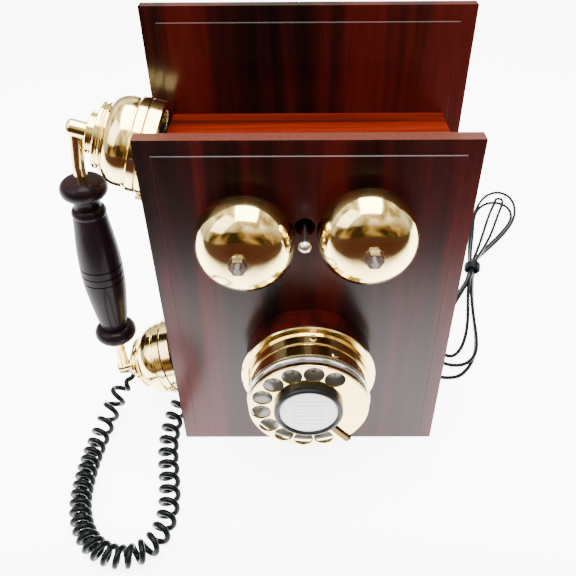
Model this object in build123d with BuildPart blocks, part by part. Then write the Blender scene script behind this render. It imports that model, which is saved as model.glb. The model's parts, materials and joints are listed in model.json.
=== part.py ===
from build123d import *
from math import cos, pi, radians, sin, tan
import os

# Wooden wall telephone. Millimetres. X runs right, Y into the wall, Z up.
# The origin is at the bottom centre of the back board's rear face, on the wall and on the shelf.
# "out" is the distance from the wall towards the room, so a point at out has y = -out.

# Case boards
back_thickness, panel_thickness = 8, 9.4
board_rim = 9
rim_step = 0.6
back_width, back_height = 195, 300
panel_width, panel_height = 191, 250
box_width = 170
box_bottom_z, box_top_z = 12, 236
wall_thickness = 9
box_out = 68
back_field_out = back_thickness + rim_step
panel_out = box_out + panel_thickness + rim_step
box_inner_x = box_width / 2 - wall_thickness
side_top_z = box_top_z - wall_thickness

# Hanging holes in the back board, above the box
hang_spacing = 120
hang_z = 268
hang_hole_radius, hang_hole_depth = 2.5, 6

# Dial
dial_z = 89.5
base_ring_radius = 42.5
base_ring_bore = 34
flange_out = panel_out + 18
cup_front_out = flange_out + 20
cup_bore = 35.5
plate_out = cup_front_out + 3.5
wheel_out = plate_out + 4
wheel_radius = 38.3
finger_hole_radius = 6.5
finger_circle_radius = 30.6
finger_spacing = 25.65
first_hole_angle = 58.3
stop_angle = -49
dial_shaft_radius = 3
running_gap = 0.05

# Dial gears
gear_module = 0.8
main_teeth, governor_teeth = 60, 12
main_pitch_radius = gear_module * main_teeth / 2
governor_pitch_radius = gear_module * governor_teeth / 2
gear_distance = main_pitch_radius + governor_pitch_radius
gear_out, gear_thickness = 106, 2
frame_front_out, frame_back_out = 112, 95
frame_plate = 1.5

# Bells
gong_radius, gong_rise, gong_wall = 29.4, 24.2, 1.4
gong_fullness = 2.7
gong_out = 86
gong_centres = [(-36.8, 191.9), (34, 196.4)]
gong_studs = [(-39, 191.9), (35.7, 196.4)]
hammer_x, hammer_z = -2.2, 195.3
hammer_hole_radius = 6.2
ball_radius = 3.8
ball_out = 98
pivot_out = 50.5
pivot_radius = 1.5
coil_spacing = 40

# Switch hook
hook_pivot_x, hook_pivot_z = -60, 190
hook_y = -38
hook_pin_radius = 2

# Handset, hanging in the plane y = hook_y
handle_foot = (-145.4, hook_y, 78)
handle_head = (-142.4, hook_y, 199.9)
ear_mouth = (-90.8, hook_y, 225.2)
ear_tilt = 17
mouth_mouth = (-95.2, hook_y, 54.8)
mouth_tilt = 18
cap_radius = 29.4
body_radius = 27.8
cup_wall = 1.6
stub_start, stub_radius = 30, 5.2
ear_stub_end, ear_tee = 55, 49.5
mouth_stub_end, mouth_tee = 58.5, 53.2
tube_radius = 4.2

# Cords
coil_radius = 8
curly_wire_radius = 2
line_radius = 1.6
hank_height = 8
grommet_y, grommet_z = -22, 25


def turned(place, points):
    """A turned piece: (along, radius) points, revolved about the plane's X axis."""
    with BuildPart() as piece:
        with BuildSketch(place):
            with BuildLine():
                Polyline(*points, close=True)
            make_face()
        revolve(axis=Axis(place.origin, place.x_dir))
    return piece.part


def out_axis(x, z):
    """A plane whose X axis points out of the wall at (x, z)."""
    return Plane(origin=(x, 0, z), x_dir=(0, -1, 0), z_dir=(1, 0, 0))


def facing_out(out):
    """A plane parallel to the wall, at a distance from it, with X right and Y up."""
    return Plane(origin=(0, -out, 0), x_dir=(1, 0, 0), z_dir=(0, -1, 0))


def bar(low, high):
    """A square-edged block between two corners."""
    size = [b - a for a, b in zip(low, high)]
    with BuildPart() as piece:
        with BuildSketch(Plane.XY.offset(low[2])):
            with Locations(((low[0] + high[0]) / 2, (low[1] + high[1]) / 2)):
                Rectangle(size[0], size[1])
        extrude(amount=size[2])
    return piece.part


def bordered_board(width, height, thickness, out_rear):
    """A board with a raised field inside a plain border."""
    with BuildPart() as board:
        with BuildSketch(facing_out(out_rear)):
            with Locations((0, height / 2)):
                Rectangle(width, height)
        extrude(amount=thickness)
        with BuildSketch(facing_out(out_rear + thickness)):
            with Locations((0, height / 2)):
                Rectangle(width - 2 * board_rim, height - 2 * board_rim)
        extrude(amount=rim_step, taper=35)
    return board.part


# Case ------------------------------------------------------------------------------------------

# Countersunk screws through the back board into the sides, and their blanks that cut the bores.
case_screw_spots = [(side * (box_width / 2 - wall_thickness / 2), z)
                    for side in (-1, 1) for z in (40, 124, 208)]
with BuildPart() as case_screw_blanks:
    with BuildSketch(facing_out(0)):
        with Locations(*case_screw_spots):
            Circle(3.4)
    extrude(amount=1.9, taper=42)
    with BuildSketch(facing_out(0)):
        with Locations(*case_screw_spots):
            Circle(1.6)
    extrude(amount=24)

with BuildPart() as case_screws:
    add(case_screw_blanks.part)
    with BuildSketch(facing_out(0)):
        with Locations(*case_screw_spots):
            Rectangle(5, 0.9)
    extrude(amount=0.8, mode=Mode.SUBTRACT)

# Round hanger plates let into the back board, each with a hole for a wall screw.
hang_spots = [(-hang_spacing / 2, hang_z), (hang_spacing / 2, hang_z)]
hanger_screw_spots = [(x + offset, z) for x, z in hang_spots for offset in (-6, 6)]

with BuildPart() as hanger_screws:
    with BuildSketch(facing_out(0)):
        with Locations(*hanger_screw_spots):
            Circle(1.2)
    extrude(amount=6)

with BuildPart() as hanger_plates:
    with BuildSketch(facing_out(0)):
        with Locations(*hang_spots):
            Circle(9)
            Circle(hang_hole_radius, mode=Mode.SUBTRACT)
    extrude(amount=2)
    add(hanger_screws.part, mode=Mode.SUBTRACT)

with BuildPart() as back_board:
    add(bordered_board(back_width, back_height, back_thickness, 0))
    with BuildSketch(facing_out(0)):
        with Locations(*hang_spots):
            Circle(hang_hole_radius)
    extrude(amount=hang_hole_depth, mode=Mode.SUBTRACT)
    with BuildSketch(facing_out(0)):
        with Locations(*hang_spots):
            Circle(9)
    extrude(amount=2, mode=Mode.SUBTRACT)
    add(hanger_screws.part, mode=Mode.SUBTRACT)
    add(case_screw_blanks.part, mode=Mode.SUBTRACT)

with BuildPart() as front_panel:
    add(bordered_board(panel_width, panel_height, panel_thickness, box_out))
    with BuildSketch(facing_out(box_out)):
        with Locations((0, dial_z)):
            Circle(base_ring_bore)
        with Locations((hammer_x, hammer_z)):
            Circle(hammer_hole_radius)
        with Locations(*gong_studs):
            Circle(4)
    extrude(amount=panel_thickness + rim_step, mode=Mode.SUBTRACT)

hook_slot_width, hook_slot_height = 10, 26
with BuildPart() as box_left_side:
    add(bar((-box_width / 2, -box_out, box_bottom_z), (-box_inner_x, -back_field_out, side_top_z)))
    with BuildSketch(Plane(origin=(-box_width / 2, 0, 0), x_dir=(0, 1, 0), z_dir=(1, 0, 0))):
        with Locations((hook_y, hook_pivot_z + 2)):
            Rectangle(hook_slot_width, hook_slot_height)
        with Locations((grommet_y, grommet_z)):
            Circle(4)
    extrude(amount=wall_thickness, mode=Mode.SUBTRACT)
    add(case_screw_blanks.part, mode=Mode.SUBTRACT)

with BuildPart() as box_right_side:
    add(bar((box_inner_x, -box_out, box_bottom_z), (box_width / 2, -back_field_out, side_top_z)))
    with BuildSketch(Plane(origin=(box_inner_x, 0, 0), x_dir=(0, 1, 0), z_dir=(1, 0, 0))):
        with Locations((grommet_y, grommet_z)):
            Circle(4)
    extrude(amount=wall_thickness, mode=Mode.SUBTRACT)
    add(case_screw_blanks.part, mode=Mode.SUBTRACT)

with BuildPart() as box_bottom:
    add(bar((-box_inner_x, -box_out, box_bottom_z),
            (box_inner_x, -back_field_out, box_bottom_z + wall_thickness)))

# The top lies over both sides.
with BuildPart() as box_top:
    add(bar((-box_width / 2, -box_out, side_top_z), (box_width / 2, -back_field_out, box_top_z)))


def grommet(side):
    """A flanged bush in a side wall, its flange outside the box."""
    place = Plane(origin=(side * box_width / 2, grommet_y, grommet_z), x_dir=(side, 0, 0), z_dir=(0, -side, 0))
    bore = curly_wire_radius if side < 0 else line_radius
    return turned(place, [(-wall_thickness - 1.5, bore), (-wall_thickness - 1.5, 4), (0, 4), (0, 6), (2, 6),
                          (3.5, 4.5), (3.5, bore)])


with BuildPart() as curly_cord_grommet:
    add(grommet(-1))

with BuildPart() as line_cord_grommet:
    add(grommet(1))

# Dial ------------------------------------------------------------------------------------------

dial_axis = out_axis(0, dial_z)

with BuildPart() as dial_base_ring:
    add(turned(dial_axis, [(panel_out, base_ring_bore), (panel_out, base_ring_radius),
                           (flange_out, base_ring_radius), (flange_out, base_ring_bore)]))
    front_rim = dial_base_ring.edges().filter_by(GeomType.CIRCLE).group_by(Axis.Y)[0].sort_by(SortBy.RADIUS)[-1]
    fillet(front_rim, 3)

# Small screws: two through the outer band into the cup, two on the inner band.
dial_screw_spots = [(85.7, flange_out + 6, 39.4), (-94.3, flange_out + 6, 39.4),
                    (64, flange_out + 15, 37.4), (-116, flange_out + 15, 37.4)]
with BuildPart() as dial_cup_screws:
    for angle, out, radius in dial_screw_spots:
        direction = Vector(cos(radians(angle)), 0, sin(radians(angle)))
        centre = Vector(0, -out, dial_z) + direction * (radius + 1.1)
        for head_radius, length in ((2.4, 1.2), (1, 5.2)):
            with BuildSketch(Plane(origin=centre, z_dir=-direction)):
                Circle(head_radius)
            extrude(amount=length)

with BuildPart() as dial_cup:
    add(turned(dial_axis, [
        (flange_out, base_ring_bore), (flange_out, 43.9), (flange_out + 0.7, 44.6), (flange_out + 1.4, 44.6),
        (flange_out + 2, 43.9), (flange_out + 2.4, 40.4), (flange_out + 10, 39.4), (flange_out + 10.4, 38.4),
        (cup_front_out, 37.6), (cup_front_out, cup_bore), (flange_out + 1.6, cup_bore),
        (flange_out + 1.6, base_ring_bore)]))
    add(dial_cup_screws.part, mode=Mode.SUBTRACT)

with BuildPart() as dial_bezel:
    add(turned(dial_axis, [(cup_front_out, 33), (cup_front_out, 39), (cup_front_out + 1, 39.4),
                           (plate_out - 0.6, 39.4), (plate_out, 38.8), (plate_out, 33)]))

with BuildPart() as number_plate:
    with BuildSketch(facing_out(plate_out)):
        with Locations((0, dial_z)):
            Circle(37.4)
            Circle(dial_shaft_radius + 1, mode=Mode.SUBTRACT)
    extrude(amount=1)

with BuildPart() as finger_wheel:
    with BuildSketch(facing_out(wheel_out)):
        with Locations((0, dial_z)):
            Circle(wheel_radius)
            Circle(dial_shaft_radius, mode=Mode.SUBTRACT)
            with PolarLocations(finger_circle_radius, 10, start_angle=first_hole_angle,
                                angular_range=10 * finger_spacing):
                Circle(finger_hole_radius, mode=Mode.SUBTRACT)
    extrude(amount=1.5)
    with BuildSketch(facing_out(wheel_out - 1.8)):
        with Locations((0, dial_z)):
            Circle(wheel_radius)
            Circle(wheel_radius - 0.9, mode=Mode.SUBTRACT)
    extrude(amount=1.8)
    front_edges = finger_wheel.edges().filter_by(GeomType.CIRCLE).group_by(Axis.Y)[0]
    fillet(front_edges.group_by(SortBy.RADIUS)[-1], 0.6)

wheel_front = wheel_out + 1.5
with BuildPart() as centre_ring:
    add(turned(dial_axis, [(wheel_front, 18.3), (wheel_front, 22), (wheel_front + 3.8, 22),
                           (wheel_front + 4.8, 21.2), (wheel_front + 5.2, 20), (wheel_front + 4.8, 18.9),
                           (wheel_front + 4, 18.3)]))

with BuildPart() as label_card:
    add(turned(dial_axis, [(wheel_front, 0), (wheel_front, 18.2), (wheel_front + 3.8, 18.2),
                           (wheel_front + 3.8, 0)]))

with BuildPart() as dial_shaft:
    add(turned(dial_axis, [(92, 0), (92, dial_shaft_radius), (wheel_front, dial_shaft_radius),
                           (wheel_front, 0)]))

stop_direction = Vector(cos(radians(stop_angle)), 0, sin(radians(stop_angle)))
stop_side = stop_direction.cross(Vector(0, -1, 0))
with BuildPart() as finger_stop:
    with BuildSketch(Plane(origin=(0, 0, dial_z), x_dir=stop_direction, z_dir=stop_side)):
        with BuildLine():
            Polyline((39.4, plate_out - 3), (39.4, plate_out), (40, plate_out + 0.6), (40, wheel_front + 0.7),
                     (23, wheel_front + 0.7), (23, wheel_front + 1.5), (24, wheel_front + 1.9),
                     (40.2, wheel_front + 1.9), (41.2, wheel_front + 1), (41.2, plate_out - 3), close=True)
        make_face()
    extrude(amount=1.7, both=True)

with BuildPart() as dial_frame:
    with BuildSketch(facing_out(frame_front_out)):
        with Locations((0, dial_z)):
            Circle(cup_bore)
            Circle(dial_shaft_radius + running_gap, mode=Mode.SUBTRACT)
        with Locations((0, dial_z + gear_distance)):
            Circle(pivot_radius + running_gap, mode=Mode.SUBTRACT)
    extrude(amount=frame_plate)
    with BuildSketch(facing_out(frame_back_out)):
        with Locations((0, dial_z)):
            Circle(33)
            Circle(dial_shaft_radius + running_gap, mode=Mode.SUBTRACT)
        with Locations((0, dial_z + gear_distance)):
            Circle(pivot_radius + running_gap, mode=Mode.SUBTRACT)
    extrude(amount=frame_plate)
    with BuildSketch(facing_out(frame_back_out)):
        with Locations((0, dial_z)):
            with PolarLocations(30, 3, start_angle=-30, angular_range=240):
                Circle(2)
    extrude(amount=frame_front_out - frame_back_out)


def spur_gear(x, z, teeth, out, thickness, bore, first_tooth):
    """A spur gear with straight-sided teeth, a little thin so that a pair runs with play."""
    pitch_radius = gear_module * teeth / 2
    root_radius = pitch_radius - 1.25 * gear_module
    tip_radius = pitch_radius + 0.55 * gear_module
    place = Plane(origin=(x, -out, z), x_dir=(1, 0, 0), z_dir=(0, -1, 0))
    with BuildPart() as gear:
        with BuildSketch(place):
            Circle(root_radius + 0.1)
            with PolarLocations(0, teeth, start_angle=first_tooth):
                with BuildLine():
                    Polyline((root_radius, -0.46), (tip_radius, -0.15), (tip_radius, 0.15), (root_radius, 0.46),
                             close=True)
                make_face()
            Circle(bore, mode=Mode.SUBTRACT)
        extrude(amount=thickness)
    return gear.part


with BuildPart() as main_gear:
    add(spur_gear(0, dial_z, main_teeth, gear_out, gear_thickness, dial_shaft_radius, 90))

governor_z = dial_z + gear_distance
with BuildPart() as governor_pinion:
    add(spur_gear(0, governor_z, governor_teeth, gear_out - 0.5, gear_thickness + 1, pivot_radius,
                  -90 + 180 / governor_teeth))
    with BuildSketch(facing_out(frame_back_out - 1.5)):
        with Locations((0, governor_z)):
            Circle(pivot_radius)
    extrude(amount=frame_front_out - frame_back_out + frame_plate + 3)
    with BuildSketch(facing_out(99)):
        with Locations((0, governor_z)):
            Circle(5.6)
    extrude(amount=4.5)

# The mainspring is a flat spiral round the shaft, in a shallow drum on the back plate.
with BuildPart() as dial_spring:
    with BuildSketch(facing_out(frame_back_out + frame_plate)):
        with Locations((0, dial_z)):
            Circle(11)
            Circle(dial_shaft_radius + 0.6, mode=Mode.SUBTRACT)
    extrude(amount=5)

with BuildPart() as impulse_contacts:
    contact_base_out = frame_back_out + frame_plate
    with BuildSketch(facing_out(contact_base_out)):
        with Locations((-21, dial_z)):
            Rectangle(9, 7)
    extrude(amount=3)
    for level in range(2):
        with BuildSketch(facing_out(contact_base_out + 3 + 2 * level)):
            with Locations((-18, dial_z)):
                Rectangle(14, 4)
            with Locations((-23, dial_z)):
                Rectangle(5, 6)
        extrude(amount=0.4)
    for level in range(2):
        with BuildSketch(facing_out(contact_base_out + 3.4 + 2 * level)):
            with Locations((-23, dial_z)):
                Rectangle(5, 6)
        extrude(amount=1.6)

# Bells -----------------------------------------------------------------------------------------


def dome_line(radius, rise):
    """Points of a bell's profile from its rim to its crown, fuller in the shoulder than an ellipse."""
    points = []
    for step in range(10):
        angle = radians(9 * step + 9)
        points.append((gong_out + rise * sin(angle) ** (2 / gong_fullness),
                       radius * max(cos(angle), 0) ** (2 / gong_fullness)))
    return points


def gong(centre, stud):
    """A domed gong, hung off its centre, with a hole for its stud."""
    inner_radius, inner_rise = gong_radius - gong_wall, gong_rise - gong_wall
    with BuildPart() as dome:
        with BuildSketch(out_axis(*centre)):
            with BuildLine():
                Spline((gong_out, gong_radius), *dome_line(gong_radius, gong_rise), tangents=((1, 0), (0, -1)))
                Line((gong_out, gong_radius), (gong_out, inner_radius))
                Spline((gong_out, inner_radius), *dome_line(inner_radius, inner_rise), tangents=((1, 0), (0, -1)))
                Line((gong_out + inner_rise, 0), (gong_out + gong_rise, 0))
            make_face()
        revolve(axis=Axis((centre[0], 0, centre[1]), (0, -1, 0)))
        with BuildSketch(facing_out(gong_out)):
            with Locations(stud):
                Circle(2)
        extrude(amount=gong_rise + 5, mode=Mode.SUBTRACT)
    return dome.part


with BuildPart() as left_gong:
    add(gong(gong_centres[0], gong_studs[0]))

with BuildPart() as right_gong:
    add(gong(gong_centres[1], gong_studs[1]))

gong_top_out = gong_out + gong_rise
stud_end_out = gong_top_out + 7
with BuildPart() as gong_posts:
    for inner, outer, radius in ((box_out - 6, gong_top_out - gong_wall, 4),
                                 (gong_top_out - gong_wall, stud_end_out, 2)):
        with BuildSketch(facing_out(inner)):
            with Locations(*gong_studs):
                Circle(radius)
        extrude(amount=outer - inner)
    with BuildSketch(facing_out(box_out - 2.5)):
        with Locations(*gong_studs):
            Circle(8)
    extrude(amount=2.5)
    add(left_gong.part, mode=Mode.SUBTRACT)
    add(right_gong.part, mode=Mode.SUBTRACT)

with BuildPart() as gong_nuts:
    with BuildSketch(facing_out(gong_top_out - 0.3)):
        with Locations(*gong_studs):
            Circle(5.8)
            Circle(2, mode=Mode.SUBTRACT)
    extrude(amount=1)
    with BuildSketch(facing_out(gong_top_out + 0.7)):
        with Locations(*gong_studs):
            RegularPolygon(5.3, 6)
            Circle(2, mode=Mode.SUBTRACT)
    extrude(amount=3.6)
    add(left_gong.part, mode=Mode.SUBTRACT)
    add(right_gong.part, mode=Mode.SUBTRACT)

coil_spots = [(hammer_x - coil_spacing / 2, hammer_z), (hammer_x + coil_spacing / 2, hammer_z)]
yoke_out, core_tip_out = 18, 46
with BuildPart() as ringer_frame:
    with BuildSketch(facing_out(yoke_out)):
        with Locations((hammer_x, hammer_z)):
            Rectangle(60, 24)
            Rectangle(30, 44)
    extrude(amount=3)
    with BuildSketch(facing_out(yoke_out)):
        with Locations(*coil_spots):
            Circle(4)
    extrude(amount=core_tip_out - yoke_out)
    with BuildSketch(facing_out(yoke_out)):
        with Locations((hammer_x, hammer_z - 21), (hammer_x, hammer_z + 21)):
            Rectangle(30, 2)
    extrude(amount=box_out - yoke_out)
    with BuildSketch(facing_out(box_out - 2)):
        with Locations((hammer_x, hammer_z - 24), (hammer_x, hammer_z + 24)):
            Rectangle(30, 8)
    extrude(amount=2)
    # Two tongues carry the armature's pivot pin.
    with BuildSketch(facing_out(yoke_out)):
        with Locations((hammer_x, hammer_z - 11), (hammer_x, hammer_z + 11)):
            Rectangle(6, 2)
    extrude(amount=pivot_out + 3 - yoke_out)
    with BuildSketch(Plane.XY.offset(hammer_z - 11)):
        with Locations((hammer_x, -pivot_out)):
            Circle(pivot_radius)
    extrude(amount=22)

with BuildPart() as ringer_coils:
    for out, radius, length in ((23, 10, 1.2), (24.2, 9, 18.6), (42.8, 10, 1.2)):
        with BuildSketch(facing_out(out)):
            with Locations(*coil_spots):
                Circle(radius)
                Circle(4, mode=Mode.SUBTRACT)
        extrude(amount=length)

with BuildPart() as armature:
    with BuildSketch(Plane.XY.offset(hammer_z - 5)):
        with Locations((hammer_x, -pivot_out)):
            Rectangle(56, 3)
            Circle(3.4)
            Circle(pivot_radius + running_gap, mode=Mode.SUBTRACT)
    extrude(amount=10)

with BuildPart() as hammer_rod:
    with BuildSketch(Plane(origin=(hammer_x, -pivot_out - 3.4, hammer_z), z_dir=(0, -1, 0))):
        Circle(0.8)
    extrude(amount=ball_out - pivot_out - 3.4)

with BuildPart() as hammer_ball:
    with Locations((hammer_x, -ball_out, hammer_z)):
        Sphere(ball_radius)
    add(hammer_rod.part, mode=Mode.SUBTRACT)

# Handset ---------------------------------------------------------------------------------------


def cup_axis(mouth, tilt):
    """A plane at a cup's mouth whose X axis runs back through the cup; tilt raises the back."""
    direction = Vector(-cos(radians(tilt)), 0, sin(radians(tilt)))
    return Plane(origin=mouth, x_dir=direction, z_dir=(0, -1, 0))


ear_axis = cup_axis(ear_mouth, ear_tilt)
mouth_axis = cup_axis(mouth_mouth, -mouth_tilt)

cap_length = 8.6
dome_start, dome_end, dome_end_radius = 18, 30, 19.6


def brass_cup(place):
    """The cup: ring, bead, domed back, stepped flange and ribbed collar, open at the mouth."""
    with BuildPart() as cup:
        with BuildSketch(place):
            with BuildLine():
                Polyline((cap_length, 25), (cap_length, 28.9), (9.2, cap_radius), (13.8, cap_radius - 0.3),
                         (14.4, 28.4), (15, 27.2), (15.7, 27.2), (16.3, body_radius), (dome_start, body_radius))
                EllipticalCenterArc((dome_start, dome_end_radius), dome_end - dome_start,
                                    body_radius - dome_end_radius, start_angle=0, arc_size=90)
                Polyline((dome_end, dome_end_radius), (dome_end, 18.6), (30.8, 18.6), (30.8, 20.2), (31.6, 20.8),
                         (32.4, 20.2), (32.4, 19.4), (33.2, 19.4), (33.8, 20), (35.4, 20), (36, 19.2),
                         (36, 14), (37.4, 12.6), (38, 12.6), (38, 11.6), (38.7, 11.6), (38.7, 12.6), (39.4, 12.6),
                         (39.4, 11.6), (40.1, 11.6), (40.1, 12.6), (41.2, 12.6), (41.8, 11.8), (41.8, stub_radius))
                inner_end = dome_end - cup_wall
                Polyline((41.8, stub_radius), (inner_end, stub_radius), (inner_end, dome_end_radius))
                EllipticalCenterArc((dome_start, dome_end_radius), inner_end - dome_start,
                                    body_radius - dome_end_radius - cup_wall, start_angle=0, arc_size=90)
                Polyline((dome_start, body_radius - cup_wall), (14, body_radius - cup_wall), (14, 25),
                         (cap_length, 25))
            make_face()
        revolve(axis=Axis(place.origin, place.x_dir))
    return cup.part


def cap_ring(place):
    """The ring that screws on over the cup's mouth and holds the ear or mouth piece."""
    return turned(place, [(0, 25), (0, 28.2), (1.2, cap_radius), (7.8, cap_radius), (8.4, 28.9), (8.4, 25)])


def face_piece(place, hole_count):
    """The dished disc at the mouth, with a ring of sound holes round one at the centre."""
    with BuildPart() as disc:
        with BuildSketch(place):
            with BuildLine():
                Polyline((7.4, 0), (7.4, 24.9), (2.2, 24.9), (1, 23.6), (3.4, 14), (4.6, 6), (4.8, 0), close=True)
            make_face()
        revolve(axis=Axis(place.origin, place.x_dir))
        with BuildSketch(Plane(origin=place.origin, z_dir=place.x_dir)):
            Circle(1.5)
            with PolarLocations(7, hole_count):
                Circle(1.5)
        extrude(amount=8, mode=Mode.SUBTRACT)
    return disc.part


def capsule(place):
    """The receiver or transmitter unit behind the face piece."""
    return turned(place, [(8.2, 0), (8.2, 22), (12, 22), (12, 17), (20, 17), (20, 0)])


# Two nickel grub screws a cup, flush in the ring behind the seam.
with BuildPart() as grub_screws:
    for axis, first_turn in ((ear_axis, 8), (mouth_axis, 11)):
        across = axis.x_dir.cross(Vector(0, -1, 0))
        for turn in (first_turn, first_turn + 180):
            radial = Vector(0, -1, 0) * cos(radians(turn)) + across * sin(radians(turn))
            with BuildSketch(Plane(origin=axis.origin + axis.x_dir * 11.6 + radial * 25.6, z_dir=radial)):
                Circle(1.8)
            extrude(amount=3.9)

with BuildPart() as ear_cup:
    add(brass_cup(ear_axis))
    add(grub_screws.part, mode=Mode.SUBTRACT)

with BuildPart() as mouth_cup:
    add(brass_cup(mouth_axis))
    add(grub_screws.part, mode=Mode.SUBTRACT)

with BuildPart() as ear_cap_ring:
    add(cap_ring(ear_axis))

with BuildPart() as mouth_cap_ring:
    add(cap_ring(mouth_axis))

with BuildPart() as ear_piece:
    add(face_piece(ear_axis, 6))

with BuildPart() as mouth_piece:
    add(face_piece(mouth_axis, 6))

with BuildPart() as receiver_capsule:
    add(capsule(ear_axis))

with BuildPart() as transmitter_capsule:
    add(capsule(mouth_axis))

# The handle's axis leans a little: its foot is farther from the box than its head.
handle_rise = (Vector(*handle_head) - Vector(*handle_foot)).normalized()
handle_length = (Vector(*handle_head) - Vector(*handle_foot)).length


def on_handle(along):
    """A point on the handle's axis, at a distance above the middle of its lower bead."""
    return Vector(*handle_foot) + handle_rise * along


def stub_and_tube(place, stub_end, tee, along_inside, along_edge):
    """A round-ended stub on the cup's axis, brazed to a bent tube that runs into the handle."""
    tee_point = place.origin + place.x_dir * tee
    inside, edge = on_handle(along_inside), on_handle(along_edge)
    with BuildPart() as piece:
        with BuildSketch(Plane(origin=place.origin + place.x_dir * stub_start, z_dir=place.x_dir)):
            Circle(stub_radius)
        extrude(amount=stub_end - stub_start)
        tip = piece.edges().filter_by(GeomType.CIRCLE).sort_by(Axis(place.origin, place.x_dir))[-1]
        fillet(tip, 3)
        with BuildLine() as path:
            FilletPolyline(inside, edge, tee_point, radius=14)
        with BuildSketch(Plane(origin=inside, z_dir=edge - inside)):
            Circle(tube_radius)
        sweep(path=path.wires()[0])
    return piece.part


with BuildPart() as upper_tube:
    add(stub_and_tube(ear_axis, ear_stub_end, ear_tee, handle_length - 18, handle_length + 15))

# The lower tube also carries the ferrule that lets the curly cord out under its stub.
ferrule_along = 46.5
ferrule_x = mouth_mouth[0] - ferrule_along * cos(radians(mouth_tilt))
ferrule_top = mouth_mouth[2] - ferrule_along * sin(radians(mouth_tilt))
ferrule_end_z = 33.2
with BuildPart() as lower_tube:
    add(stub_and_tube(mouth_axis, mouth_stub_end, mouth_tee, 18, -15))
    with BuildSketch(Plane.XY.offset(ferrule_end_z)):
        with Locations((ferrule_x, hook_y)):
            Circle(3)
    extrude(amount=ferrule_top - ferrule_end_z)
    add(mouth_cup.part, mode=Mode.SUBTRACT)

# The handle is turned wood: a bead at each end and three engraved rings round the belly.
ring_heights = (51.3, 57.1, 62.9)


def handle_outline(along):
    """The barrel's radius: fullest at the rings, slimmest above the lower bead and below the upper one."""
    if along < 57:
        return 9.6 + 4.9 * sin(radians(90 * (along - 8) / 49))
    return 10.6 + 3.9 * cos(radians(90 * (along - 57) / 46))


handle_plane = Plane(origin=handle_foot, x_dir=handle_rise, z_dir=(0, -1, 0))
top_bead = handle_length
with BuildPart() as handle:
    with BuildSketch(handle_plane):
        with BuildLine():
            Line((-6.5, 0), (-6.5, 7.5))
            ThreePointArc((-6.5, 7.5), (0, 15), (6, 9.2))
            Spline((6, 9.2), *[(along, handle_outline(along)) for along in range(12, 100, 12)], (102.6, 10.9),
                   tangents=((1, 0), (1, -0.1)))
            ThreePointArc((102.6, 10.9), (106.4, 10.8), (108.6, 8.8))
            ThreePointArc((108.6, 8.8), (111.8, 8.2), (top_bead - 6.8, 8.9))
            ThreePointArc((top_bead - 6.8, 8.9), (top_bead, 15), (top_bead + 6.4, 8.5))
            Polyline((top_bead + 6.4, 8.5), (top_bead + 6.4, 0), (-6.5, 0))
        make_face()
    revolve(axis=Axis(handle_foot, handle_rise))
    for along in ring_heights:
        with BuildSketch(Plane(origin=on_handle(along - 0.45), z_dir=handle_rise)):
            Circle(20)
            Circle(handle_outline(along) - 0.6, mode=Mode.SUBTRACT)
        extrude(amount=0.9, mode=Mode.SUBTRACT)
    add(upper_tube.part, mode=Mode.SUBTRACT)
    add(lower_tube.part, mode=Mode.SUBTRACT)

# Switch hook -----------------------------------------------------------------------------------

saddle_inner = cap_radius + 0.5
saddle_start, saddle_length = 1.6, 6
with BuildPart() as switch_hook:
    # The saddle is a short trough, square to the ear cup's axis, under its cap ring.
    with BuildSketch(Plane(origin=Vector(*ear_mouth) + ear_axis.x_dir * saddle_start, x_dir=(0, 1, 0),
                           z_dir=ear_axis.x_dir)):
        Circle(saddle_inner + 2.2)
        Circle(saddle_inner, mode=Mode.SUBTRACT)
        with BuildLine():
            Polyline((0, 0), (-44, 60), (44, 60), close=True)
        make_face(mode=Mode.INTERSECT)
    extrude(amount=saddle_length)
    # The lever runs from under the saddle through the slot in the left side to the pivot.
    with BuildSketch(Plane(origin=(0, hook_y, 0), x_dir=(1, 0, 0), z_dir=(0, -1, 0))):
        with BuildLine():
            Polyline((-107, 196.6), (-108.4, 192.6), (-98, 187), (-60, 186.5), (-42, 186.5), (-42, 189.5),
                     (-56, 193.5), (-90, 193.5), (-97, 193.4), close=True)
        make_face()
    extrude(amount=2, both=True)
    with BuildSketch(Plane(origin=(hook_pivot_x, hook_y, hook_pivot_z), z_dir=(0, -1, 0))):
        Circle(5)
    extrude(amount=3, both=True)
    with BuildSketch(Plane(origin=(hook_pivot_x, hook_y, hook_pivot_z), z_dir=(0, -1, 0))):
        Circle(hook_pin_radius + running_gap)
    extrude(amount=5, both=True, mode=Mode.SUBTRACT)

with BuildPart() as hook_pivot_pin:
    with BuildSketch(Plane(origin=(hook_pivot_x, hook_y, hook_pivot_z), z_dir=(0, -1, 0))):
        Circle(hook_pin_radius)
    extrude(amount=7, both=True)

with BuildPart() as hook_bracket:
    for out in (31.5, 43):
        with BuildSketch(facing_out(out)):
            with Locations(((hook_pivot_x - box_inner_x) / 2 + 3, hook_pivot_z)):
                Rectangle(box_inner_x + hook_pivot_x + 6, 18)
            with Locations((hook_pivot_x, hook_pivot_z)):
                Circle(hook_pin_radius, mode=Mode.SUBTRACT)
        extrude(amount=1.5)
    with BuildSketch(Plane(origin=(-box_inner_x, hook_y, hook_pivot_z), x_dir=(0, 1, 0), z_dir=(1, 0, 0))):
        Rectangle(34, 30)
        with Locations((0, 2)):
            Rectangle(10, 26, mode=Mode.SUBTRACT)
    extrude(amount=1.5)

# A torsion spring round the pin, between the lever's boss and the bracket.
with BuildPart() as hook_spring:
    with BuildSketch(facing_out(41.3)):
        with Locations((hook_pivot_x, hook_pivot_z)):
            Circle(3.6)
            Circle(2.3, mode=Mode.SUBTRACT)
    extrude(amount=1.7)

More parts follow.
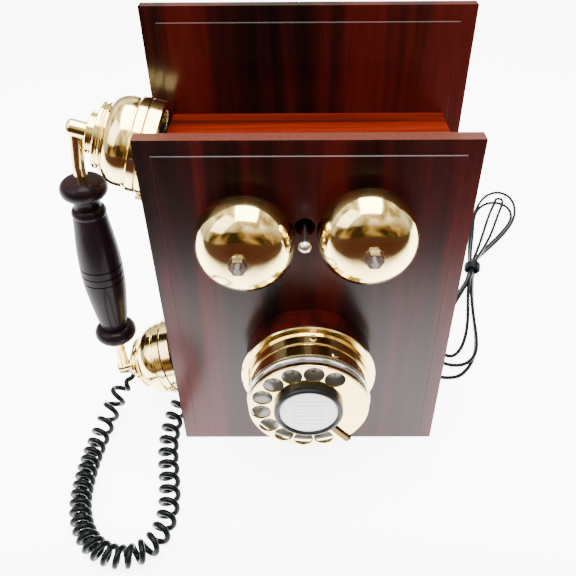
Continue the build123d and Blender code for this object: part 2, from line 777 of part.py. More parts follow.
with BuildPart() as hook_contacts:
    with BuildSketch(Plane.XY.offset(165)):
        with Locations((-34, hook_y)):
            Rectangle(10, 12)
    extrude(amount=12)
    for level in range(3):
        with BuildSketch(Plane.XY.offset(177 + 2.4 * level)):
            with Locations((-38, hook_y)):
                Rectangle(18, 6)
        extrude(amount=0.4)
        with BuildSketch(Plane.XY.offset(177.4 + 2.4 * level)):
            with Locations((-34, hook_y)):
                Rectangle(10, 12)
        extrude(amount=2)

# Circuit ---------------------------------------------------------------------------------------

with BuildPart() as circuit_board:
    add(bar((-45, -12.6, 40), (45, -11, 150)))
    with BuildSketch(facing_out(back_field_out)):
        with Locations((-38, 46), (38, 46), (-38, 144), (38, 144)):
            Circle(3)
    extrude(amount=11 - back_field_out)

with BuildPart() as transformer:
    add(bar((-20, -34, 60), (8, -12.6, 86)))
    with BuildSketch(facing_out(34)):
        with Locations((-6, 73)):
            Rectangle(16, 18)
    extrude(amount=5)

with BuildPart() as capacitor:
    with BuildSketch(Plane(origin=(-4, -20.6, 110), z_dir=(1, 0, 0))):
        Circle(8)
    extrude(amount=34)

# Cords -----------------------------------------------------------------------------------------


def corner_radii(route):
    """0.45 of the shorter run at each corner, divided by the tangent of half the turn."""
    points = [Vector(*point) for point in route]
    radii = []
    for before, corner, after in zip(points, points[1:], points[2:]):
        run_in, run_out = corner - before, after - corner
        half_turn = radians(run_in.get_angle(run_out)) / 2
        radii.append(0.45 * min(run_in.length, run_out.length) / tan(half_turn))
    return radii


def cord_tube(route, radius, label):
    """A round tube along straight runs joined by arcs as large as the runs allow."""
    radii = corner_radii(route)
    with BuildPart() as tube:
        with BuildLine() as path:
            FilletPolyline(*route, radius=radii)
        with BuildSketch(Plane(origin=route[0], z_dir=Vector(*route[1]) - Vector(*route[0]))):
            Circle(radius)
        sweep(path=path.wires()[0])
    length = path.wires()[0].length
    print(label, "length", round(length, 1), "radii", [round(r, 1) for r in radii],
          "volume / (section x length)", round(tube.part.volume / (pi * radius ** 2 * length), 4))
    return tube.part


# The curly cord hangs from the ferrule, lies on the shelf in a long U, and goes in at the left side.
# Its coils are one fat tube, with a straight end of the bare cord at each end.
curly_route = [(-146, -43, 25.5), (-152.5, -50, 17.5), (-157, -61, 11.5), (-159.8, -77, 8.3), (-161.6, -97, 8.1),
               (-161.9, -119, 8.1), (-160, -141, 8.1), (-152.5, -161, 8.1), (-139, -176, 8.1),
               (-120, -181.5, 8.1), (-105, -174.5, 8.1), (-97.4, -160, 8.1), (-96.8, -141, 8.1),
               (-100.4, -121, 8.1), (-105, -101, 8.1), (-107, -82, 8.1), (-106.4, -64, 8.3), (-102.6, -47, 9.2),
               (-95.6, -34, 11)]
handset_end = [(ferrule_x, hook_y, ferrule_end_z - 0.4), (ferrule_x, hook_y, ferrule_end_z - 4), curly_route[0]]
case_end = [(-box_width / 2, grommet_y, grommet_z), (-box_width / 2 - 6.5, grommet_y, grommet_z), curly_route[-1]]
with BuildPart() as curly_cord:
    add(cord_tube(curly_route, coil_radius, "curly cord"))
    for route in (handset_end, case_end):
        with BuildLine() as path:
            FilletPolyline(*route, radius=2.5)
        with BuildSketch(Plane(origin=route[0], z_dir=Vector(*route[1]) - Vector(*route[0]))):
            Circle(curly_wire_radius)
        sweep(path=path.wires()[0])

# The line cord comes out at the right side and goes straight into its hank.
line_route = [(88.6, -22, 25), (94, -21.8, 24.3), (99.5, -20.8, 20.5), (103.5, -19, 15), (107.6, -16.4, 10.8),
              (113.5, -12.8, 9.3)]
with BuildPart() as line_cord:
    add(cord_tube(line_route, line_radius, "line cord"))

# The hank is two long loops laid flat, drawn in at the waist by its tie.
hank_outline = [(113, -22), (131, -22), (150, -6), (162, 22), (168, 62), (176.5, 122), (184.5, 150), (212, 184),
                (246, 224), (259, 262), (254, 296), (238, 305), (214, 292), (194, 250), (178, 200), (170.5, 152),
                (163.5, 130), (146, 96), (124, 52), (111, 14), (106, -8)]
tie_width, tie_thickness = 5, 1.2
waist_place = Plane(origin=(173.8, 138.5, 0), x_dir=(cos(radians(-15)), sin(radians(-15)), 0), z_dir=(0, 0, 1))
with BuildPart() as line_cord_hank:
    with BuildSketch(Plane.XY):
        with BuildLine():
            Spline(*hank_outline, periodic=True)
        make_face()
    extrude(amount=hank_height)
    with BuildSketch(waist_place):
        Rectangle(30, tie_width)
    extrude(amount=tie_thickness, mode=Mode.SUBTRACT)

# The tie is a band round the waist, a little under and over the bundle.
with BuildPart() as hank_tie:
    with BuildSketch(waist_place):
        RectangleRounded(19, tie_width, 1)
    extrude(amount=hank_height + tie_thickness)
    add(line_cord_hank.part, mode=Mode.SUBTRACT)

# A small wall plug ends the cord, lying beside the hank behind the back board.
with BuildPart() as line_plug:
    with BuildSketch(Plane.XY):
        with Locations((89, 30)):
            RectangleRounded(20, 12, 1)
    extrude(amount=8.4)
    with BuildSketch(Plane.XY.offset(8.4)):
        with Locations((86, 30)):
            Rectangle(12, 5)
    extrude(amount=1)
    with BuildSketch(Plane(origin=(99, 30, 4), z_dir=(1, 0, 0))):
        Circle(2.6)
    extrude(amount=6, taper=8)
    with BuildSketch(Plane(origin=(99, 30, 4), z_dir=(1, 0, 0))):
        Circle(line_radius)
    extrude(amount=20)
    add(line_cord_hank.part, mode=Mode.SUBTRACT)

# Files -----------------------------------------------------------------------------------------

pieces = {
    "back_board": back_board, "front_panel": front_panel, "box_left_side": box_left_side,
    "box_right_side": box_right_side, "box_top": box_top, "box_bottom": box_bottom, "case_screws": case_screws,
    "hanger_plates": hanger_plates, "hanger_screws": hanger_screws, "curly_cord_grommet": curly_cord_grommet,
    "line_cord_grommet": line_cord_grommet,
    "dial_base_ring": dial_base_ring, "dial_cup": dial_cup, "dial_cup_screws": dial_cup_screws,
    "dial_bezel": dial_bezel, "number_plate": number_plate, "finger_wheel": finger_wheel,
    "finger_stop": finger_stop, "centre_ring": centre_ring, "label_card": label_card, "dial_shaft": dial_shaft,
    "dial_frame": dial_frame, "main_gear": main_gear, "governor_pinion": governor_pinion,
    "dial_spring": dial_spring, "impulse_contacts": impulse_contacts,
    "left_gong": left_gong, "right_gong": right_gong, "gong_posts": gong_posts, "gong_nuts": gong_nuts,
    "ringer_frame": ringer_frame, "ringer_coils": ringer_coils, "armature": armature, "hammer_rod": hammer_rod,
    "hammer_ball": hammer_ball,
    "switch_hook": switch_hook, "hook_bracket": hook_bracket, "hook_pivot_pin": hook_pivot_pin,
    "hook_spring": hook_spring, "hook_contacts": hook_contacts,
    "circuit_board": circuit_board, "transformer": transformer, "capacitor": capacitor,
    "handle": handle, "upper_tube": upper_tube, "lower_tube": lower_tube, "ear_cup": ear_cup,
    "ear_cap_ring": ear_cap_ring, "ear_piece": ear_piece, "receiver_capsule": receiver_capsule,
    "mouth_cup": mouth_cup, "mouth_cap_ring": mouth_cap_ring, "mouth_piece": mouth_piece,
    "transmitter_capsule": transmitter_capsule, "grub_screws": grub_screws,
    "curly_cord": curly_cord, "line_cord": line_cord, "line_cord_hank": line_cord_hank,
    "hank_tie": hank_tie, "line_plug": line_plug,
}
os.makedirs("parts", exist_ok=True)
for name, piece in pieces.items():
    piece.part.label = name
    export_step(piece.part, f"parts/{name}.step")
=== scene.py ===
import json
import math

import bmesh
import bpy
from mathutils import Matrix, Vector


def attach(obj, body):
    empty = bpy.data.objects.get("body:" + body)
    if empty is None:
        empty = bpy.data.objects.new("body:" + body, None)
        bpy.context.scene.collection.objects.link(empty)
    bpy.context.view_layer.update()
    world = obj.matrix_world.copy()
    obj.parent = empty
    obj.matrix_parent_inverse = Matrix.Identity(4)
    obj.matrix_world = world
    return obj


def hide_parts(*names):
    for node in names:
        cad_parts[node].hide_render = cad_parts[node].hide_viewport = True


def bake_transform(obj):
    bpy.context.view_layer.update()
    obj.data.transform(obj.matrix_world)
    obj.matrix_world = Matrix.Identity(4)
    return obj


# A wooden wall telephone. Metres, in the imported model's frame: X right, Y into the wall, Z up.

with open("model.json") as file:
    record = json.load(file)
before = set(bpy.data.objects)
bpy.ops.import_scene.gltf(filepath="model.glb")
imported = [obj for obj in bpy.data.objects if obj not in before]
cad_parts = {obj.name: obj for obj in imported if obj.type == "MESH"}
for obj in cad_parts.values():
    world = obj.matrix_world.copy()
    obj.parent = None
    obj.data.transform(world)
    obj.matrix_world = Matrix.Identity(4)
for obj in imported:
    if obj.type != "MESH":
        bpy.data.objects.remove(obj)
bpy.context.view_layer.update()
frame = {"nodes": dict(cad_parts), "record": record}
nodes = frame["nodes"]

MM = 0.001


# Camera ----------------------------------------------------------------------------------------

# Fitted to the photo. In radians: how far it looks down, turns right, and lifts its right side.
CAMERA_PLACE = (-0.00279, -0.3857, 0.39427)
PITCH, YAW, ROLL = 0.6772, -0.0078, -0.0077
SENSOR_WIDTH, LENS = 36, 38.77
SHIFT_X, SHIFT_Y = -0.0211, 0.0063
CLIP_START = 0.01


def make_camera():
    """Looks down at the telephone from in front, a little turned and rolled."""
    forward = Vector((math.sin(YAW) * math.cos(PITCH), math.cos(YAW) * math.cos(PITCH), -math.sin(PITCH)))
    right = Vector((math.cos(YAW), -math.sin(YAW), 0))
    up = right.cross(forward)
    right_rolled = right * math.cos(ROLL) + up * math.sin(ROLL)
    up_rolled = up * math.cos(ROLL) - right * math.sin(ROLL)
    data = bpy.data.cameras.new("camera")
    data.sensor_width = SENSOR_WIDTH
    data.lens = LENS
    data.shift_x = SHIFT_X
    data.shift_y = SHIFT_Y
    data.clip_start = CLIP_START
    camera = bpy.data.objects.new("camera", data)
    turn = Matrix((right_rolled, up_rolled, -forward)).transposed().to_4x4()
    camera.matrix_world = Matrix.Translation(CAMERA_PLACE) @ turn
    bpy.context.scene.collection.objects.link(camera)
    bpy.context.scene.camera = camera


make_camera()


# Helpers ---------------------------------------------------------------------------------------

BEVEL_RESOLUTION = 4


def link(name, data):
    """A new object in the scene that shows the data."""
    piece = bpy.data.objects.new(name, data)
    bpy.context.scene.collection.objects.link(piece)
    return piece


def nurbs(name, points, resolution, radius=0.0):
    """One smooth curve that follows its control points, as a round tube if it has a radius."""
    curve = bpy.data.curves.new(name, "CURVE")
    curve.dimensions = "3D"
    curve.resolution_u = resolution
    curve.bevel_depth = radius
    curve.bevel_resolution = BEVEL_RESOLUTION
    curve.use_fill_caps = True
    spline = curve.splines.new("NURBS")
    spline.points.add(len(points) - 1)
    for point, place in zip(spline.points, points):
        point.co = (*place, 1)
    spline.order_u = 3
    spline.use_endpoint_u = True
    return link(name, curve)


def curve_points(curve_object):
    """The points along a curve that has no thickness."""
    mesh = bpy.data.meshes.new_from_object(curve_object)
    points = [vertex.co.copy() for vertex in mesh.vertices]
    bpy.data.meshes.remove(mesh)
    return points


def lengths_along(points):
    """The distance from the first point to each point, along the line through them."""
    total, result = 0.0, [0.0]
    for a, b in zip(points, points[1:]):
        total += (b - a).length
        result.append(total)
    return result


def as_mesh(curve_object):
    """The same tube as a mesh, in place of the curve."""
    name = curve_object.name
    mesh = bpy.data.meshes.new_from_object(curve_object)
    bpy.data.objects.remove(curve_object)
    mesh.name = name
    mesh.shade_smooth()
    return link(name, mesh)


# Cords -----------------------------------------------------------------------------------------

# The curly cord goes from the ferrule under the handset, in a long U on the shelf, to its grommet.
CURLY_ROUTE = [
    (-139.4, -38, 32.8), (-139.4, -38, 28.8), (-146, -43, 25.5), (-152.5, -50, 17.5), (-157, -61, 11.5),
    (-159.8, -77, 8.3), (-161.6, -97, 8.1), (-161.9, -119, 8.1), (-160, -141, 8.1), (-152.5, -161, 8.1),
    (-139, -176, 8.1), (-120, -181.5, 8.1), (-105, -174.5, 8.1), (-97.4, -160, 8.1), (-96.8, -141, 8.1),
    (-100.4, -121, 8.1), (-105, -101, 8.1), (-107, -82, 8.1), (-106.4, -64, 8.3), (-102.6, -47, 9.2),
    (-95.6, -34, 11), (-92.5, -23, 25), (-88.4, -22, 25)]
WIRE_RADIUS = 0.0020
COIL_RADIUS = 0.0060
FIRST_PHASE = math.radians(200)

# In millimetres along the route: the straight part at each end, how far the coils take to open, and a step.
STRAIGHT_START, STRAIGHT_END, OPENING = 6, 24, 14
COIL_STEP = 0.22

# How many points of the route, each way, the coil's direction is taken over.
SMOOTHING = 12

# Each entry is a distance along the route and the coil spacing there, in millimetres.
SPACING = [
    (0, 15), (18, 13), (45, 12), (62, 9.5), (78, 7.2), (180, 7.0), (205, 9.5), (235, 10.5), (300, 11.5),
    (340, 11)]


def spacing_at(distance):
    """The coil spacing at a distance along the route, both in millimetres."""
    for (d0, s0), (d1, s1) in zip(SPACING, SPACING[1:]):
        if distance <= d1:
            return s0 + (s1 - s0) * max(0, distance - d0) / (d1 - d0)
    return SPACING[-1][1]


def coil_size_at(distance, total):
    """The coil's radius: nothing at the straight ends, full in between."""
    rise = min(1, max(0, (distance - STRAIGHT_START) / OPENING))
    fall = min(1, max(0, (total - STRAIGHT_END - distance) / OPENING))
    size = min(rise, fall)
    return COIL_RADIUS * size * size * (3 - 2 * size)


def curly_path():
    """The helix round the route, wound in small steps."""
    route = nurbs("curly_route", [Vector(p) * MM for p in CURLY_ROUTE], 24)
    points = curve_points(route)
    bpy.data.objects.remove(route)
    along = lengths_along(points)
    total = along[-1] / MM
    steps = int(total / COIL_STEP)
    result = []
    phase = FIRST_PHASE
    index = 0
    up = Vector((0, 0, 1))
    for step in range(steps + 1):
        distance = along[-1] * step / steps
        while index < len(points) - 2 and along[index + 1] < distance:
            index += 1
        share = (distance - along[index]) / max(1e-9, along[index + 1] - along[index])
        centre = points[index].lerp(points[index + 1], min(1, share))
        before, after = max(0, index - SMOOTHING), min(len(points) - 1, index + SMOOTHING + 1)
        forward = (points[after] - points[before]).normalized()
        side = forward.cross(up).normalized()
        over = side.cross(forward)
        size = coil_size_at(distance / MM, total)
        result.append(centre + (side * math.cos(phase) + over * math.sin(phase)) * size)
        phase += 2 * math.pi * (total / steps) / spacing_at(distance / MM)
    return result


def make_curly_cord():
    """The coiled wire as one mesh, in place of the model's curly cord."""
    path = curly_path()
    cord = as_mesh(nurbs("curly_cord_wire", path[::2], 2, WIRE_RADIUS))
    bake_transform(cord)
    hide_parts("curly_cord")
    length = lengths_along(path)[-1]
    return cord


curly_cord = make_curly_cord()

# The line cord's route in millimetres. Its laps lie on the shelf, each going from the tie round an upper loop
# and a lower one, and at the waist each strand is lifted to its own place in the bundle.
LINE_ROUTE = [
    (88.6, -22, 25), (94, -21.8, 24.3), (99.5, -20.8, 20.5), (103.5, -19, 14), (107.5, -17.5, 7.5),
    (113, -16.5, 3),
    # outermost strand of the lower loop, into the bundle
    (121, -16.4, 1.8), (130, -15, 1.7), (138, -8, 1.7), (147, 5, 1.7), (154, 25, 1.7), (158, 50, 1.7),
    (161.5, 75, 1.9), (166, 100, 2.6), (171, 122, 3.5), (175, 138, 4.2), (181, 154, 3.5),
    # right side of the upper loop, round its top, and down its left side
    (193, 168, 2.4), (210, 188, 1.7), (226, 208, 1.7), (240, 229, 1.7), (250, 252, 1.7), (254, 274, 1.7),
    (252, 292, 1.7), (242, 301.5, 1.7), (228, 296, 1.7), (215, 280, 1.7), (203, 256, 1.7), (194, 230, 1.7),
    (186, 204, 1.9), (179, 178, 2.8), (174.5, 156, 4.2), (170.5, 138, 4.5), (165.5, 120, 4),
    # hidden left side of the lower loop
    (153, 100, 3.1), (138, 78, 2.2), (122, 50, 1.7), (112, 26, 1.7), (113, 9, 1.9), (120, -1, 3.1),
    (131, -4.6, 4.2), (142, -0.5, 4.5), (151, 12, 4.5), (155.5, 32, 4.5), (158, 55, 4.6), (161, 78, 4.7),
    (165, 102, 4.9), (169.5, 123, 5.4), (174, 138, 6.5), (180, 153, 6.1),
    # the second, smaller top
    (192, 168, 5.2), (208, 188, 4.5), (223, 207, 4.5), (236, 226, 4.5), (243, 244, 4.5), (242, 262, 4.5),
    (232, 274, 3.1), (219, 273, 1.8), (206, 259, 1.8), (197, 237, 1.8), (190, 208, 2.4), (182, 180, 4),
    (176, 157, 5.8), (171.5, 138, 7), (166, 121, 6.1),
    # the innermost lower loop
    (156, 102, 4.7), (141, 76, 3.1), (127, 48, 1.9), (119, 28, 1.9), (120, 12, 2.8), (128, 5.6, 4.7),
    (137, 14, 5.8), (146, 34, 4.7), (153, 58, 4.2), (158, 84, 4.9), (163, 106, 6.5), (168.5, 124, 7.9),
    (173, 138, 9.1), (178, 151, 8.1),
    # the long doubled strand, up to its fold and back
    (187, 171, 6.5), (198, 198, 5.4), (208, 223, 5.2), (218, 247, 5.2), (228, 267, 5.2), (232.4, 278.4, 5.6),
    (240, 277.4, 5.8), (237, 265, 5.2), (229, 248, 4.9), (219, 225, 5.2), (208, 200, 5.4), (196, 176, 7),
    (183, 153, 9.3), (175.5, 138.5, 10), (170, 124, 8.8),
    # out of the waist, to the plug behind the back board
    (160, 105, 6.5), (149, 88, 4), (136, 66, 2.2), (124, 46, 1.8), (113, 34, 2.8), (105, 30, 3.8),
    (99, 30, 4)]
LINE_RADIUS = 0.0016
LINE_RESOLUTION = 10

# The cord's own end is wound round the waist of the hank.
WAIST = Vector((0.173, 0.1355, 0.0068))
WAIST_ALONG = Vector((0.26, 0.966, 0))
WAIST_SIZE = (0.0068, 0.0051)
WAIST_TURNS, WAIST_PITCH = 3.3, 0.0031
STEPS_A_TURN = 16


def make_hank_wraps():
    """A few flat turns round the waist, side by side."""
    across = WAIST_ALONG.cross(Vector((0, 0, 1))).normalized()
    points = []
    for step in range(int(WAIST_TURNS * STEPS_A_TURN) + 1):
        turn = 2 * math.pi * step / STEPS_A_TURN
        lean = WAIST_ALONG * (WAIST_PITCH * (step / STEPS_A_TURN - WAIST_TURNS / 2))
        wide = across * (WAIST_SIZE[0] * math.cos(turn))
        points.append(WAIST + lean + wide + Vector((0, 0, WAIST_SIZE[1] * math.sin(turn))))
    wraps = as_mesh(nurbs("hank_wraps", points, 3, LINE_RADIUS))
    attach(wraps, "case")
    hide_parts("hank_tie")
    return wraps


hank_wraps = make_hank_wraps()


def make_line_cord():
    """The line cord and its hank as one strand."""
    points = [Vector(p) * MM for p in LINE_ROUTE]
    route = nurbs("line_route", points, LINE_RESOLUTION)
    path = curve_points(route)
    bpy.data.objects.remove(route)
    cord = as_mesh(nurbs("line_cord_wire", points, LINE_RESOLUTION, LINE_RADIUS))
    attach(cord, "case")
    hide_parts("line_cord", "line_cord_hank")
    length = lengths_along(path)[-1]
    return cord


line_cord = make_line_cord()


# Digits on the number plate, one behind each finger hole ------------------------------------------

PLATE_FRONT = -0.1205
DIAL_Z = 0.0895
FINGER_CIRCLE = 0.0306

# In degrees from the right, counterclockwise as seen from the front.
FIRST_HOLE, HOLE_SPACING = 58.3, 25.65

DIGIT_HEIGHT, DIGIT_DEPTH, DIGIT_LIFT = 0.0072, 0.00004, 0.00003


def make_digits():
    """The numbers 1 to 0 as one thin mesh on the plate."""
    digits = bmesh.new()
    for index in range(10):
        angle = math.radians(FIRST_HOLE + HOLE_SPACING * index)
        text = bpy.data.curves.new("digit", "FONT")
        text.body = str((index + 1) % 10)
        text.size = DIGIT_HEIGHT
        text.align_x = "CENTER"
        text.align_y = "CENTER"
        text.extrude = DIGIT_DEPTH
        flat = bpy.data.objects.new("digit", text)
        mesh = bpy.data.meshes.new_from_object(flat)
        across, up = FINGER_CIRCLE * math.cos(angle), FINGER_CIRCLE * math.sin(angle)
        centre = Vector((across, PLATE_FRONT - DIGIT_LIFT, DIAL_Z + up))
        mesh.transform(Matrix.Translation(centre) @ Matrix.Rotation(math.pi / 2, 4, "X"))
        digits.from_mesh(mesh)
        bpy.data.objects.remove(flat)
        bpy.data.curves.remove(text)
        bpy.data.meshes.remove(mesh)
    mesh = bpy.data.meshes.new("dial_digits")
    digits.to_mesh(mesh)
    digits.free()
    piece = link("dial_digits", mesh)
    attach(piece, "case")
    return piece


dial_digits = make_digits()


# Materials -------------------------------------------------------------------------------------


class Shader:
    """A small builder for a material's node tree."""

    def __init__(self, name):
        self.material = bpy.data.materials.new(name)
        self.material.use_nodes = True
        self.tree = self.material.node_tree
        self.shader = self.tree.nodes["Principled BSDF"]
        coordinates = self.tree.nodes.new("ShaderNodeTexCoord")
        self.place = coordinates.outputs["Object"]

    def put(self, **values):
        """Sets uniform values on the shader, with _ for a space in a socket's name."""
        for name, value in values.items():
            self.shader.inputs[name.replace("_", " ")].default_value = value

    def node(self, kind, inputs=None, **settings):
        """A new node, with its inputs set to values or joined to other nodes' outputs."""
        made = self.tree.nodes.new("ShaderNode" + kind)
        for name, value in settings.items():
            setattr(made, name, value)
        for name, value in (inputs or {}).items():
            if isinstance(value, bpy.types.NodeSocket):
                self.tree.links.new(value, made.inputs[name])
            else:
                made.inputs[name].default_value = value
        return made

    def stretched(self, scale):
        return self.node("Mapping", {"Vector": self.place, "Scale": scale}).outputs[0]

    def noise(self, vector, scale, detail=4.0, roughness=0.6, distortion=0.0):
        inputs = {"Vector": vector, "Scale": scale, "Detail": detail, "Roughness": roughness}
        return self.node("TexNoise", {**inputs, "Distortion": distortion}).outputs[0]

    def calculate(self, operation, a, b=0.0):
        return self.node("Math", {0: a, 1: b}, operation=operation).outputs[0]

    def ramp(self, factor, stops):
        made = self.node("ValToRGB", {"Fac": factor})
        elements = made.color_ramp.elements
        while len(elements) < len(stops):
            elements.new(0.5)
        for element, (position, colour) in zip(elements, stops):
            element.position = position
            element.color = (*colour, 1)
        return made.outputs[0]

    def spread(self, factor, low, high):
        return self.node("MapRange", {"Value": factor, "To Min": low, "To Max": high}).outputs[0]

    def mix(self, factor, a, b, kind="MIX"):
        made = self.node("Mix", data_type="RGBA", blend_type=kind)
        for name, value in ((0, factor), (6, a), (7, b)):
            if isinstance(value, bpy.types.NodeSocket):
                self.tree.links.new(value, made.inputs[name])
            else:
                made.inputs[name].default_value = value
        return made.outputs[2]

    def join(self, socket, output):
        self.tree.links.new(output, self.shader.inputs[socket])

    def bump(self, height, strength, distance, socket="Normal"):
        made = self.node("Bump", {"Height": height, "Strength": strength, "Distance": distance})
        self.join(socket, made.outputs[0])


def varnished_wood(name, darkest, dark, light, grain_scale=(70, 70, 4), bands=(38, 38, 1.6), coat=1.0,
                   coat_roughness=0.13, painted_top_light=None):
    """Straight-grained wood along Z under varnish. Faces that point up can take a lighter colour, painted
    light from above.
    """
    s = Shader(name)
    broad = s.noise(s.stretched(bands), 1.0, 3, 0.5, 0.6)
    fine = s.noise(s.stretched(grain_scale), 6.0, 6, 0.7, 0.2)
    base = s.ramp(broad, [(0.38, darkest), (0.5, dark), (0.63, light)])
    streaks = s.ramp(fine, [(0.3, (0.45, 0.42, 0.42)), (0.62, (1, 1, 1))])
    if painted_top_light:
        # Painted highlight: faces that point up are mixed to a lighter colour, standing in for light from
        # above.
        rise = s.node("SeparateXYZ", {"Vector": s.node("NewGeometry").outputs["Normal"]}).outputs[2]
        upward = s.node("MapRange", {"Value": rise, "From Min": 0.9, "From Max": 1.0}).outputs[0]
        base = s.mix(upward, base, (*painted_top_light, 1))
    s.join("Base Color", s.mix(0.75, base, streaks, "MULTIPLY"))
    s.join("Roughness", s.spread(fine, 0.45, 0.6))
    s.put(Coat_Weight=coat, Coat_Roughness=coat_roughness, Specular_IOR_Level=0.04)
    ripple = s.noise(s.stretched((26, 26, 9)), 1.0, 2, 0.5)
    s.bump(fine, 0.05, 0.0004)
    s.bump(ripple, 0.05, 0.0015, "Coat Normal")
    return s.material


# The card's rules. The lowest one is LOWEST_RULE below the middle of the dial.
RULE_PITCH, RULE_WIDTH = 0.0034, 0.00045
RULED_HALF_WIDTH, RULED_HALF_HEIGHT = 0.0105, 0.0108
LOWEST_RULE = 0.0102


def ruled_card(name, colour):
    """A pale card with a few thin grey rules across it."""
    s = Shader(name)
    grain = s.noise(s.stretched((900, 900, 900)), 1.0, 4, 0.6)
    parts = s.node("SeparateXYZ", {"Vector": s.place}).outputs
    rise = s.calculate("SUBTRACT", parts[2], DIAL_Z - LOWEST_RULE)
    past_rule = s.calculate("FLOORED_MODULO", rise, RULE_PITCH)
    on_rule = s.calculate("LESS_THAN", past_rule, RULE_WIDTH)
    in_width = s.calculate("LESS_THAN", s.calculate("ABSOLUTE", parts[0]), RULED_HALF_WIDTH)
    from_middle = s.calculate("ABSOLUTE", s.calculate("SUBTRACT", rise, LOWEST_RULE))
    in_height = s.calculate("LESS_THAN", from_middle, RULED_HALF_HEIGHT)
    ruled = s.calculate("MULTIPLY", on_rule, s.calculate("MULTIPLY", in_width, in_height))
    plain = s.ramp(grain, [(0.3, tuple(c * 0.96 for c in colour)), (0.7, colour)])
    s.join("Base Color", s.mix(ruled, plain, (0.32, 0.32, 0.36, 1)))
    s.join("Roughness", s.spread(grain, 0.5, 0.65))
    return s.material


def polished_metal(name, colour, low, high, scratch=0.02, wear=0.9):
    """Mirror-bright metal with faint cloudy tarnish and hairline polishing marks."""
    s = Shader(name)
    cloud = s.noise(s.stretched((60, 60, 60)), 1.0, 5, 0.65)
    lines = s.noise(s.stretched((900, 900, 60)), 1.0, 3, 0.6)
    tint = tuple(c * wear for c in colour)
    s.join("Base Color", s.ramp(cloud, [(0.3, tint), (0.6, colour)]))
    s.join("Roughness", s.spread(cloud, low, high))
    s.put(Metallic=1.0)
    s.bump(lines, scratch, 0.0002)
    return s.material


def painted(name, colour, rough, coat=0.0, speckle=0.85, scale=300, gloss=0.5):
    """Paint or plastic with a fine speckle."""
    s = Shader(name)
    grain = s.noise(s.stretched((scale, scale, scale)), 1.0, 4, 0.6)
    s.join("Base Color", s.ramp(grain, [(0.3, tuple(c * speckle for c in colour)), (0.7, colour)]))
    s.join("Roughness", s.spread(grain, rough * 0.8, rough * 1.2))
    s.put(Coat_Weight=coat, Coat_Roughness=0.1, Specular_IOR_Level=gloss)
    s.bump(grain, 0.05, 0.0002)
    return s.material


MATERIALS = {
    "case_wood": varnished_wood("case_wood", (0.0035, 0.0004, 0.0004), (0.014, 0.0010, 0.0009),
                                (0.046, 0.0026, 0.0016), coat=0.4, coat_roughness=0.2),
    # The panel's top edge gets a painted highlight for the light from above.
    "panel_wood": varnished_wood("panel_wood", (0.0035, 0.0004, 0.0004), (0.014, 0.0008, 0.0008),
                                 (0.042, 0.0020, 0.0014), coat=0.38, coat_roughness=0.22,
                                 painted_top_light=(0.075, 0.020, 0.012)),
    # The box top: the case's wood with its grain running across, painted several times lighter as painted
    # light from the lamp above.
    "painted_lit_top_wood": varnished_wood("painted_lit_top_wood", (0.03, 0.002, 0.0005), (0.10, 0.006, 0.001), (0.17, 0.012, 0.002),
                               (4, 70, 70), (1.6, 38, 38), 0.15),
    "inner_wood": varnished_wood("inner_wood", (0.2, 0.1, 0.05), (0.3, 0.16, 0.08), (0.42, 0.25, 0.13),
                                 coat=0.1),
    "handle_wood": varnished_wood("handle_wood", (0.003, 0.001, 0.002), (0.007, 0.002, 0.004),
                                  (0.014, 0.003, 0.005), (120, 120, 8), (40, 40, 3), 0.08, 0.12),
    "brass": polished_metal("brass", (0.87, 0.69, 0.29), 0.07, 0.16),
    # A much darker copy of the brass for the finger stop: painted shade and painted dark reflection on a stop
    # of plain brass.
    "aged_brass": polished_metal("aged_brass", (0.10, 0.055, 0.02), 0.12, 0.25),
    "nickel": polished_metal("nickel", (0.74, 0.70, 0.60), 0.1, 0.2),
    "steel": polished_metal("steel", (0.42, 0.42, 0.43), 0.22, 0.38, 0.06),
    "bezel_metal": polished_metal("bezel_metal", (0.70, 0.69, 0.66), 0.2, 0.34, 0.05),
    "plate_paint": painted("plate_paint", (0.10, 0.10, 0.10), 0.3, 0.35, 0.85),
    "dark_paint": painted("dark_paint", (0.003, 0.003, 0.005), 0.3, 0.0, gloss=0.2),
    "card": ruled_card("card", (0.93, 0.93, 0.94)),
    "black_plastic": painted("black_plastic", (0.008, 0.008, 0.009), 0.35, 0.05, gloss=0.3),
    "fibre": painted("fibre", (0.28, 0.15, 0.07), 0.6, 0.0, 0.7),
    "coil_tape": painted("coil_tape", (0.25, 0.03, 0.03), 0.5, 0.3, 0.7),
    "cord_vinyl": painted("cord_vinyl", (0.0015, 0.003, 0.004), 0.25, 0.0, 0.8, 800, 0.08),
    "tie_plastic": painted("tie_plastic", (0.0015, 0.003, 0.004), 0.25, 0.0, 0.8, 800, 0.08),
}


def paint(piece, material):
    """Gives the piece this one material."""
    piece.data.materials.clear()
    piece.data.materials.append(MATERIALS[material])


for entry in frame["record"]["subparts"]:
    paint(nodes[entry["node"]], entry["material_slot"])
# The box top takes the lighter wood, painted light from above.
paint(nodes["box_top"], "painted_lit_top_wood")
paint(nodes["front_panel"], "panel_wood")
paint(curly_cord, "cord_vinyl")
paint(line_cord, "cord_vinyl")
paint(hank_wraps, "tie_plastic")
paint(dial_digits, "dark_paint")


# Stage -----------------------------------------------------------------------------------------


def stage_plane(name, corners, material):
    mesh = bpy.data.meshes.new(name)
    mesh.from_pydata(corners, [], [range(len(corners))])
    mesh.materials.append(material)
    link(name, mesh)


def area_light(name, place, target, size, power):
    """A rectangular light turned to the target, with its power in watts."""
    data = bpy.data.lights.new(name, "AREA")
    data.shape = "RECTANGLE"
    data.size, data.size_y = size
    data.energy = power
    light = link(name, data)
    light.location = place
    light.rotation_euler = (Vector(target) - Vector(place)).to_track_quat("-Z", "Y").to_euler()


# Places along Y. The glow grows from nothing to full, and the white gives way to the shelf's colour.
GLOW_START, GLOW_FULL = -0.32, -0.15
WHITE_END, SHELF_START = -0.26, -0.36
GLOW = 6.8
FLOOR_Z = -0.0002


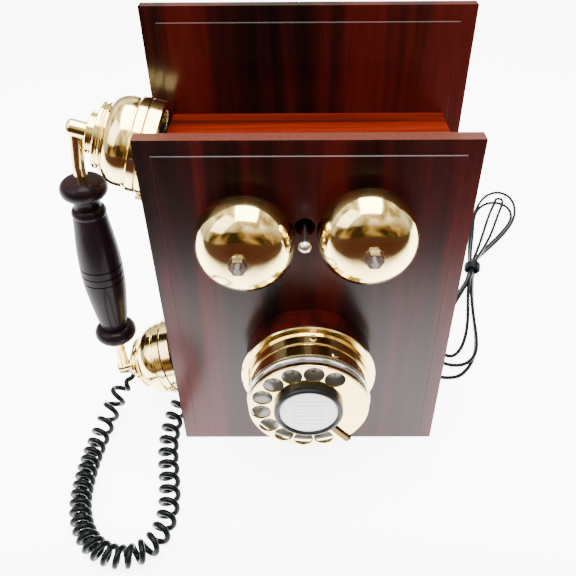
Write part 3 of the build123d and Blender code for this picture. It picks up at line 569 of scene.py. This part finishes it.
def floor_material():
    """A sheet lit to full white round the telephone, that falls off to a dark shelf in front of it."""
    s = Shader("floor_sheet")
    weave = s.noise(s.stretched((20, 20, 20)), 1.0, 4, 0.6)
    white = s.ramp(weave, [(0.3, (0.90, 0.90, 0.93)), (0.7, (0.93, 0.93, 0.955))])
    grain = s.noise(s.stretched((3, 60, 60)), 1.0, 4, 0.6)
    shelf = s.ramp(grain, [(0.35, (0.006, 0.0004, 0.0004)), (0.65, (0.03, 0.002, 0.0016))])
    depth = s.node("SeparateXYZ", {"Vector": s.place}).outputs[1]
    nearness = s.node("MapRange", {"Value": depth, "From Min": WHITE_END, "From Max": SHELF_START}).outputs[0]
    s.join("Base Color", s.mix(nearness, white, shelf))
    s.put(Roughness=0.6, Specular_IOR_Level=0.1)
    s.shader.inputs["Emission Color"].default_value = (0.985, 0.985, 1, 1)
    limits = {"From Min": GLOW_START, "From Max": GLOW_FULL, "To Min": 0.0, "To Max": GLOW}
    s.join("Emission Strength", s.node("MapRange", {"Value": depth, **limits}).outputs[0])
    return s.material


stage_plane("floor", [(-4, -1.6, FLOOR_Z), (4, -1.6, FLOOR_Z), (4, 5, FLOOR_Z), (-4, 5, FLOOR_Z)],
            floor_material())

area_light("top_light", (0.1, 0.0, 1.5), (0, 0, 0), (1.7, 1.0), 95)
area_light("left_light", (-1.0, -0.7, 1.2), (0, 0, 0.1), (1.1, 1.3), 22)


class WorldShader(Shader):
    """The same builder for a world's node tree, where the background takes the shader's part."""

    def __init__(self, name):
        self.world = bpy.data.worlds.new(name)
        self.world.use_nodes = True
        self.tree = self.world.node_tree
        self.shader = self.tree.nodes["Background"]
        self.place = self.tree.nodes.new("ShaderNodeTexCoord").outputs["Generated"]


def room():
    """A bright ceiling, pale walls, and a dim warm room in front of the telephone."""
    s = WorldShader("room")
    parts = s.node("SeparateXYZ", {"Vector": s.place}).outputs
    ceiling = s.node("MapRange", {"Value": parts[2], "From Min": 0.3, "From Max": 0.6}).outputs[0]
    front = s.node("MapRange", {"Value": parts[1], "From Min": -0.1, "From Max": -0.5}).outputs[0]
    shapes = s.noise(s.stretched((2.2, 2.2, 1.4)), 1.0, 2, 0.5, 0.4)
    dim = s.ramp(shapes, [(0.42, (0.05, 0.03, 0.012)), (0.52, (0.42, 0.26, 0.09)), (0.62, (0.9, 0.66, 0.36))])
    pale = s.ramp(shapes, [(0.4, (0.5, 0.46, 0.37)), (0.5, (1.0, 0.95, 0.82)), (0.62, (1.6, 1.55, 1.45))])
    walls = s.mix(front, pale, dim)
    beams = s.noise(s.stretched((3.2, 1.2, 2.0)), 1.0, 2, 0.5, 0.3)
    above = s.ramp(beams, [(0.36, (0.7, 0.55, 0.32)), (0.48, (1.7, 1.5, 1.1)), (0.6, (3.2, 3.0, 2.5))])
    s.join("Color", s.mix(ceiling, walls, above))
    s.put(Strength=1.0)
    return s.world


bpy.context.scene.world = room()
